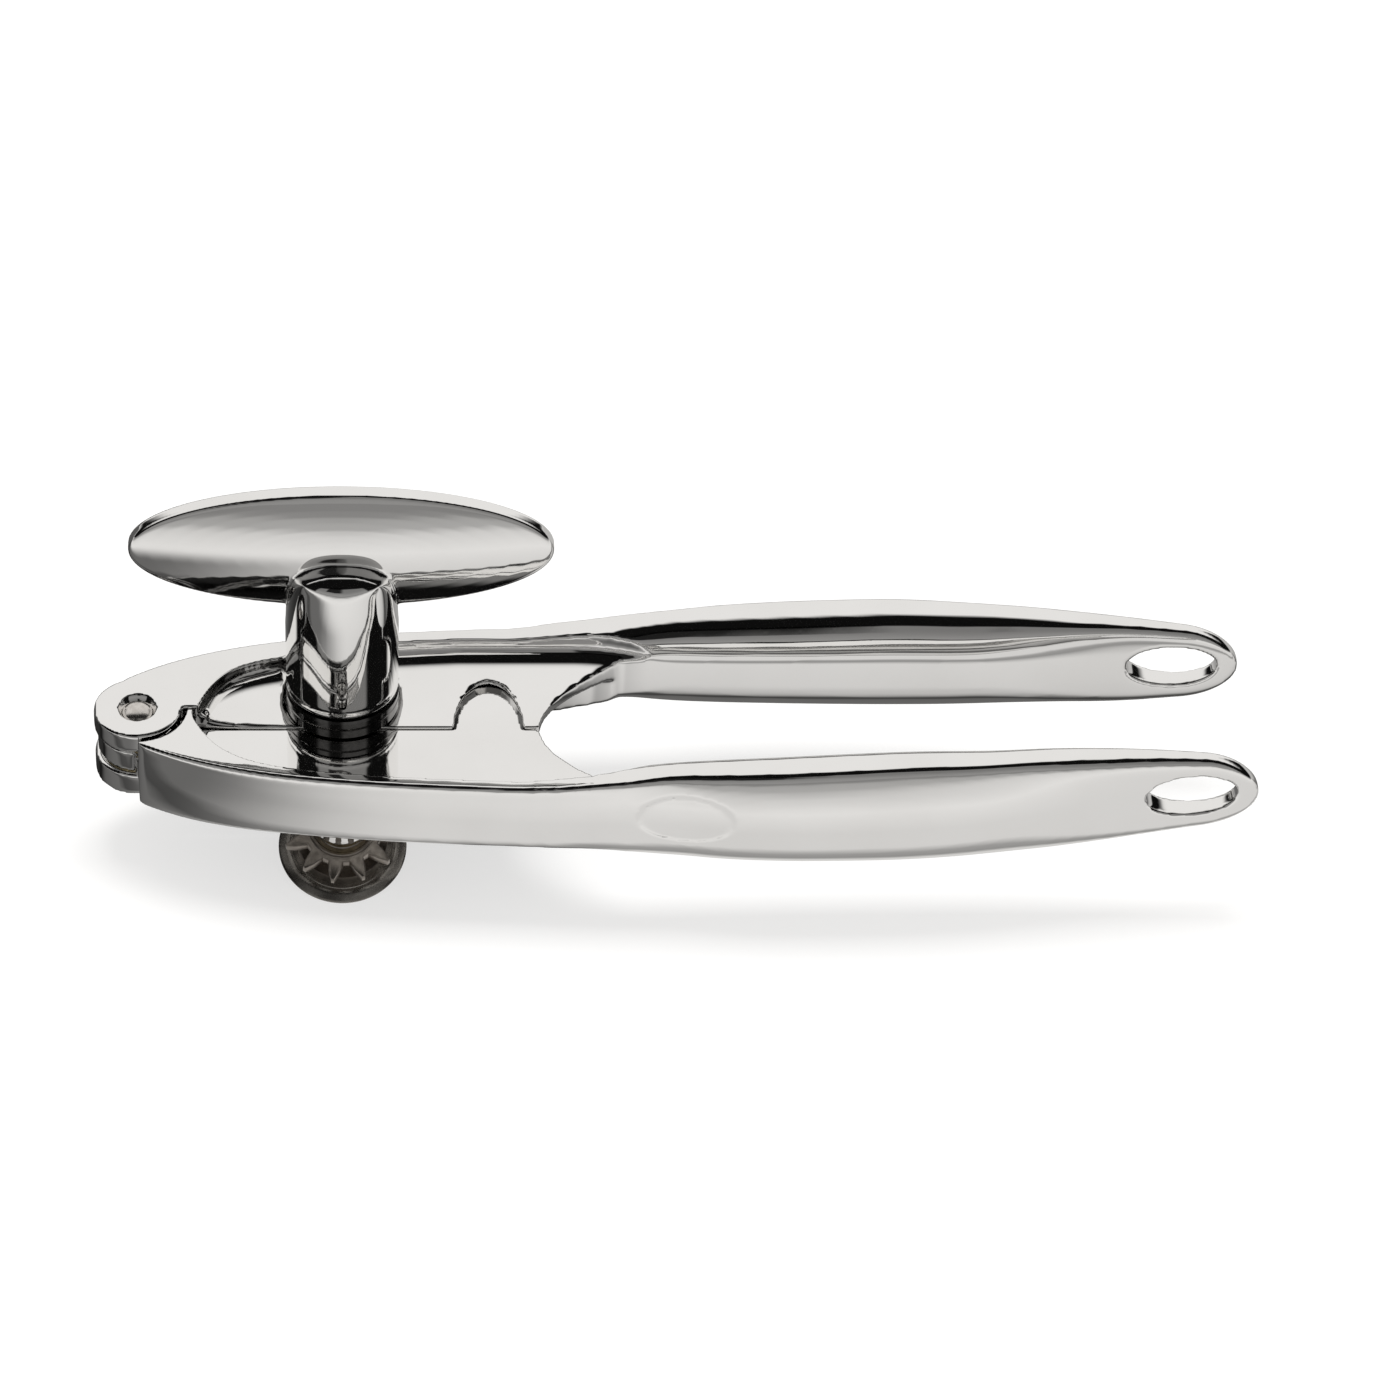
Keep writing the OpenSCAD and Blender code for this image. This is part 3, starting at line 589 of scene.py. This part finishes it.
def mirrored(bm):
    """The solid on the other side of the split line."""
    bmesh.ops.scale(bm, vec=(1, -1, 1), verts=bm.verts)
    bmesh.ops.recalc_face_normals(bm, faces=bm.faces)
    return bm


# The stud leans outwards by TILT, and STAR is the middle of the star gear on it
TILT = radians(21)
STAR = Vector((35.6, -9.40222, -15.0253))
stud_turn = Matrix.Translation(STAR) @ Matrix.Rotation(TILT, 4, "X")


def on_stud(bm):
    """The solid moved from the origin to the star gear's place on the stud."""
    bmesh.ops.transform(bm, matrix=stud_turn, verts=bm.verts)
    return bm


TONGUE_HALF_W, TONGUE_L, TONGUE_ROOT_Y = 5.65, 9.6, -1.4
tongue_low_x, tongue_high_x = NOTCH_X - TONGUE_HALF_W, NOTCH_X + TONGUE_HALF_W
tongue_arc = [(NOTCH_X + TONGUE_HALF_W * cos(radians(a)), TONGUE_L * sin(radians(a)))
              for a in range(0, 181, 5)]
tongue = prism([(tongue_high_x, 1), *tongue_arc, (tongue_low_x, 1), (tongue_low_x, TONGUE_ROOT_Y),
                (tongue_high_x, TONGUE_ROOT_Y)], UNDER_Z + 1, 0)
# The stud's boss has an upright front below the jaw and is square to the stud at its end
boss_front = [(STAR.x + BOSS_FRONT_R * cos(radians(a)),
               BOSS_FRONT_Y + BOSS_FRONT_R * sin(radians(a))) for a in range(180, 361, 6)]
stud_boss = on_stud(disc(0, 0, BOSS_R, 4.2, 20))
bmesh.ops.bisect_plane(stud_boss, geom=[*stud_boss.verts, *stud_boss.edges, *stud_boss.faces],
                       plane_co=(0, 0, BOSS_TOP_Z), plane_no=(0, 0, 1), clear_outer=True)
bmesh.ops.holes_fill(stud_boss, edges=stud_boss.edges)
bmesh.ops.recalc_face_normals(stud_boss, faces=stud_boss.faces)


def outer_side(x, z):
    """Distance from the split line to the outer face of a grip's thick part at x and z."""
    section = [p for p in handle_section(x) if p.y > 21]
    near = sorted(section, key=lambda p: abs(p.z - z))[:2]
    a, b = sorted(near, key=lambda p: p.z)
    t = (z - a.z) / max(1e-6, b.z - a.z)
    return a.y + t * (b.y - a.y)


# The oval is sunk to an even depth under the outer face, with a short rounded edge
OVAL_X, OVAL_HALF_W, OVAL_HALF_H, OVAL_DEPTH = 94.9, 8.5, 5.0, 0.45
oval_rings = []
for share, depth in ((0.05, OVAL_DEPTH), (0.4, OVAL_DEPTH), (0.7, OVAL_DEPTH), (0.9, OVAL_DEPTH),
                     (1.0, 0.4), (1.02, -2)):
    ring = []
    for k in range(72):
        x = OVAL_X + OVAL_HALF_W * share * cos(2 * pi * k / 72)
        z = OVAL_HALF_H * share * sin(2 * pi * k / 72)
        ring.append(Vector((x, depth - outer_side(x, z), z)))
    oval_rings.append(ring)
middle_low, middle_high = LOWER_Z + KNUCKLE_GAP, UPPER_Z - KNUCKLE_GAP
front_steps = [
    ("DIFFERENCE", mirrored(pocket(FRONT_POCKET_START, front_jaw_wall, FRONT_FOOT))),
    ("DIFFERENCE", mirrored(under_recess())),
    ("DIFFERENCE", mirrored(under_plate())),
    ("DIFFERENCE", disc(0, 0, MIDDLE_SPACE_R, middle_high, RIM_Z + 2)),
    ("DIFFERENCE", disc(0, 0, MIDDLE_SPACE_R, UNDER_Z - 1, middle_low)),
    ("UNION", disc(0, 0, MIDDLE_KNUCKLE_R, middle_low, middle_high)),
    ("UNION", tongue),
    ("UNION", stud_boss),
    ("UNION", prism(boss_front, BOSS_END_Z, BOSS_TOP_Z)),
    ("DIFFERENCE", disc(0, 0, MIDDLE_HOLE_R, UNDER_Z, RIM_Z)),
    ("DIFFERENCE", on_stud(disc(0, 0, STUD_HOLE_R, 0, 20))),
    ("DIFFERENCE", on_stud(disc(0, 0, STUD_SEAT_R, *STUD_SEAT_Z))),
    ("DIFFERENCE", mirrored(hanging_hole())),
    ("DIFFERENCE", loft(oval_rings)),
]
front_mesh = cast("front", mirrored(jaw_and_grip(FRONT_START)), front_steps, VOXEL, POLISH)
piece("front_handle_casting", front_mesh, plate, "front_handle", "cast_chrome", "front_handle")

# Turning knob: a chrome plated casting. Its round stem ends in an arched top, from which the
# elliptical wing rises, and the drive shaft is pinned into it from below.
KNOB_Z, WING_Z = 4.7, 36.3
STEM_R, FOOT_ROUND = 9.05, 0.8
STEM_TAPER, STEM_TAPER_Z = 0.25, (24, 34)
GROOVE_Z, GROOVE_HALF_W, GROOVE_DEPTH = 6.2, 0.28, 0.3
DOME_Z, DOME_H, DOME_HALF_W = 24.8, 10.3, 9.9
DOME_FLAT_HALF_T, DOME_FALL, DOME_BLEND = 5.3, 0.0934, 0.5
WING_HALF_L, WING_HALF_H, WING_EDGE_T, WING_SWELL = 36.5, 12.4, 1.5, 2.25
KNOB_VOXEL, KNOB_POLISH = 0.3, 3


def dome_height(x, y):
    """The arched top of the stem over a point x along the wing and y across it.

    Along the wing it is a full arch that drops steeply past its ends. Across it a flat middle
    falls off to both sides.
    """
    side = abs(x) / DOME_HALF_W
    arch = DOME_H * (1 - side ** 2.5) ** 0.4 if side < 1 else 50 * (1 - side)
    return DOME_Z + arch - DOME_FALL * max(0.0, abs(y) - DOME_FLAT_HALF_T) ** 2


def stem_section(z):
    """The stem at height z: a cylinder with a groove, run smoothly into its arched top."""
    foot = max(0.0, KNOB_Z + FOOT_ROUND - z)
    groove = GROOVE_DEPTH * exp(-((z - GROOVE_Z) / GROOVE_HALF_W) ** 2)
    radius = STEM_R + sqrt(max(0.0, FOOT_ROUND ** 2 - foot ** 2)) - groove
    radius -= STEM_TAPER * ease(z, *STEM_TAPER_Z)
    points = []
    for k in range(120):
        c, s = cos(2 * pi * k / 120), sin(2 * pi * k / 120)
        r = radius
        if z > 20:
            # Halving finds where the arched top is at z, and the two radii blend
            near, far = 0.0, 14.0
            for _ in range(22):
                r = (near + far) / 2
                near, far = (r, far) if dome_height(r * c, r * s) > z else (near, r)
            r = max(0.02, -DOME_BLEND * log(exp(-radius / DOME_BLEND) + exp(-r / DOME_BLEND)))
        points.append(Vector((KNOB.x + r * c, KNOB.y + r * s, z)))
    return points


# Sections stand close together at the foot, the groove and the arched top
heights = [KNOB_Z + FOOT_ROUND * (1 - cos(k * pi / 12)) for k in range(7)]
heights += [5.6 + 0.15 * k for k in range(9)]
heights += [7.5 + k for k in range(15)]
heights += [22.5 + 0.4 * k for k in range(26)]
heights += [32.9 + 2.18 * sin(radians(a)) for a in range(0, 91, 6)]
stem = loft([stem_section(z) for z in heights])
# The wing is spun as a round lens, then drawn out to its length and height and stood up
wing = bmesh.new()
outline = [(0, WING_EDGE_T + WING_SWELL)]
outline += [(k / 10, WING_EDGE_T + WING_SWELL * (1 - (k / 10) ** 2)) for k in range(1, 10)]
outline += [(0.965, 1.62), (0.982, 1.52), (0.994, 1.32), (1, 1.0), (1, 0)]
outline += [(r, -h) for r, h in reversed(outline[:-1])]
rim = [wing.verts.new((r, 0, h)) for r, h in outline]
for a, b in zip(rim, rim[1:]):
    wing.edges.new((a, b))
bmesh.ops.spin(wing, geom=[*wing.verts, *wing.edges], cent=(0, 0, 0), axis=(0, 0, 1),
               angle=2 * pi, steps=160, use_merge=True)
bmesh.ops.remove_doubles(wing, verts=wing.verts, dist=0.0005)
bmesh.ops.scale(wing, vec=(WING_HALF_L, WING_HALF_H, 1), verts=wing.verts)
bmesh.ops.rotate(wing, cent=(0, 0, 0), matrix=Matrix.Rotation(pi / 2, 3, "X"), verts=wing.verts)
bmesh.ops.translate(wing, vec=(KNOB.x, KNOB.y, WING_Z), verts=wing.verts)
bmesh.ops.recalc_face_normals(wing, faces=wing.faces)
SOCKET_R, SOCKET_TOP_Z = 4.02, 18.2
knob_steps = [
    ("UNION", wing),
    ("DIFFERENCE", disc(KNOB.x, KNOB.y, SOCKET_R, 0, SOCKET_TOP_Z)),
]
knob_mesh = cast("knob", stem, knob_steps, KNOB_VOXEL, KNOB_POLISH)
piece("turning_knob_casting", knob_mesh, plate, "knob", "knob_chrome", "turning_knob")


# Hinge rivet: a turned steel rivet, brushed to a satin. It holds the three knuckles together, and
# its domed head and spread tail lie in round seats in the outer ones.
def metal(name, colour, other, rough, scale):
    """A plain metal whose colour and polish vary a little."""
    finish = bpy.data.materials.new(name)
    nodes = Nodes(finish)
    grain = noise(nodes, scale, 4, 0.6)
    tone = nodes.mix(grain.ramp(0.3, 0.7), colour, other)
    metal_skin(nodes, tone, rough + 0.1 * grain, grain, 0.15, 0.00005)
    return finish


def turned(profile, closed=False):
    """A part turned from a profile of (radius, height)."""
    bm = bmesh.new()
    line = [bm.verts.new((r, 0, z)) for r, z in profile]
    for a, b in zip(line, line[1:]):
        bm.edges.new((a, b))
    if closed:
        bm.edges.new((line[-1], line[0]))
    bmesh.ops.spin(bm, geom=[*bm.verts, *bm.edges], cent=(0, 0, 0), axis=(0, 0, 1),
                   angle=2 * pi, steps=128, use_merge=True)
    bmesh.ops.remove_doubles(bm, verts=bm.verts, dist=0.0005)
    bmesh.ops.recalc_face_normals(bm, faces=bm.faces)
    return bm


def small_piece(name, bm, material, body, slot, *nodes):
    """A finished small part, smooth but for its edges."""
    edge_angle = 35
    mesh = bpy.data.meshes.new(name)
    bm.to_mesh(mesh)
    bm.free()
    made = piece(name, mesh, material, body, slot, *nodes)
    mesh.set_sharp_from_angle(angle=radians(edge_angle))
    return made


satin = metal("satin_steel", (0.74, 0.71, 0.68), (0.60, 0.57, 0.54), 0.2, 900)
rivet = turned([(0, 4.9), (0.8, 4.85), (1.6, 4.68), (2.1, 4.46), (2.42, 4.2), (2.58, 4.0),
                (2.62, 3.85), (2.5, 3.8), (2.5, -6.71), (3.2, -6.73), (3.2, -6.95), (2.8, -7.3),
                (1.8, -7.6), (0, -7.7)])
small_piece("hinge_rivet_turned", rivet, satin, "rear_handle", "satin_rivet", "hinge_rivet")

# Knob collar: a blackened steel ring round the shaft, with a groove turned into its side. It rests
# on the bush's thin flange, under the knob.
black = metal("collar_black", (0.24, 0.235, 0.23), (0.17, 0.168, 0.165), 0.1, 900)
collar = turned([(5.2, 0.42), (9.6, 0.42), (9.88, 0.7), (9.88, 2.3), (9.6, 2.45), (9.6, 2.65),
                 (9.88, 2.8), (9.88, 3.8), (9.55, 4.18), (8.4, 4.2), (5.2, 4.2)], closed=True)
bmesh.ops.translate(collar, vec=KNOB, verts=collar.verts)
small_piece("knob_collar_ring", collar, black, "rear_handle", "collar_dark", "knob_collar")

# Star gear: stamped from browned steel and bevelled at its teeth, whose flanks and bevels take a
# brighter steel as a painted highlight. It turns with the cutting wheel on the tilted stud, and a
# round hub stands up from its middle.
TEETH, STAR_PHASE, STAR_HALF_T = 12, 80.7, 0.8
# One tooth as points of (radius, share of the pitch)
TOOTH = ((7.1, -0.36), (9.0, -0.2), (10.5, -0.05), (10.5, 0.05), (9.0, 0.2), (7.1, 0.36))
dark = metal("dark_steel", (0.42, 0.385, 0.345), (0.31, 0.28, 0.25), 0.26, 900)
# A brighter steel for the teeth's flanks and bevels: a painted highlight
painted_highlight_steel = metal("tooth_painted_highlight", (0.86, 0.84, 0.79), (0.78, 0.76, 0.70), 0.14, 900)
star_plan = []
for k in range(TEETH):
    for r, share in TOOTH:
        a = radians(STAR_PHASE + 360 / TEETH * (k + share))
        star_plan.append((r * cos(a), r * sin(a)))
star = prism(star_plan, -STAR_HALF_T, STAR_HALF_T)
tooth_edges = [e for e in star.edges if all(v.co.z > STAR_HALF_T - 0.1 for v in e.verts)]
bmesh.ops.bevel(star, geom=tooth_edges, offset=0.3, offset_type="OFFSET", affect="EDGES",
                segments=2, profile=0.5, material=-1, clamp_overlap=True)
hub = turned([(0, 1.28), (4.4, 1.28), (4.6, 1.1), (5.3, 1.1), (5.5, 1.28), (5.9, 1.28), (6.1, 1.1),
              (6.1, 0.5), (0, 0.5)])
hub_mesh = bpy.data.meshes.new("hub")
hub.to_mesh(hub_mesh)
hub.free()
star.from_mesh(hub_mesh)
bpy.data.meshes.remove(hub_mesh)
# The teeth's flanks and bevels get the brighter steel, a painted highlight
for face in star.faces:
    on_tooth = face.calc_center_median().xy.length > 6.8
    face.material_index = 1 if on_tooth and abs(face.normal.z) < 0.97 else 0
on_stud(star)
star_piece = small_piece("star_gear_stamped", star, dark, "cutter", "dark_steel", "cutter_gear")
star_piece.data.materials.append(painted_highlight_steel)

# Cutting wheel: a hardened steel disc with turned rings and a ground bevel to its sharp edge. It
# sits on the stud below the star gear.
WHEEL_DOWN = 7.2
blade = metal("cutter_steel", (0.44, 0.42, 0.39), (0.35, 0.33, 0.305), 0.22, 900)
wheel = turned([(3.9, 0.8), (7.3, 0.8), (7.4, 0.65), (7.8, 0.65), (7.9, 0.8), (8.7, 0.8),
                (8.8, 0.68), (9.2, 0.68), (9.3, 0.8), (9.75, 0.78), (10.1, 0.66), (10.85, 0.32),
                (11.2, 0.14), (11.28, 0.02), (11.2, -0.12), (10.85, -0.23), (8.9, -0.75),
                (3.9, -0.8)], closed=True)
bmesh.ops.translate(wheel, vec=(0, 0, -WHEEL_DOWN), verts=wheel.verts)
on_stud(wheel)
small_piece("cutting_wheel_ground", wheel, blade, "cutter", "cutter_steel", "cutter_wheel")

# Other small parts: bright steel fasteners, washers and the drive shaft, browned gears, and bronze
# bushes. They keep their CAD shapes and take the finish of their metal.
bright = metal("bright_steel", (0.78, 0.775, 0.76), (0.70, 0.695, 0.68), 0.12, 1200)
bronze = metal("bush_bronze", (0.50, 0.42, 0.25), (0.38, 0.32, 0.19), 0.2, 900)
for names, finish in (
    (("thrust_washer", "cutter_stud", "cutter_end_washer", "cutter_nut",
      "spring_washer", "knob_pin", "drive_shaft", "feed_spacer", "shaft_nut"), bright),
    (("drive_gear", "feed_wheel", "cutter_hub"), dark),
    (("shaft_bush", "cutter_bush", "hinge_washers", "cutter_spacer"), bronze),
):
    for name in names:
        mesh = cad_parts[name].data
        mesh.materials.clear()
        mesh.materials.append(finish)
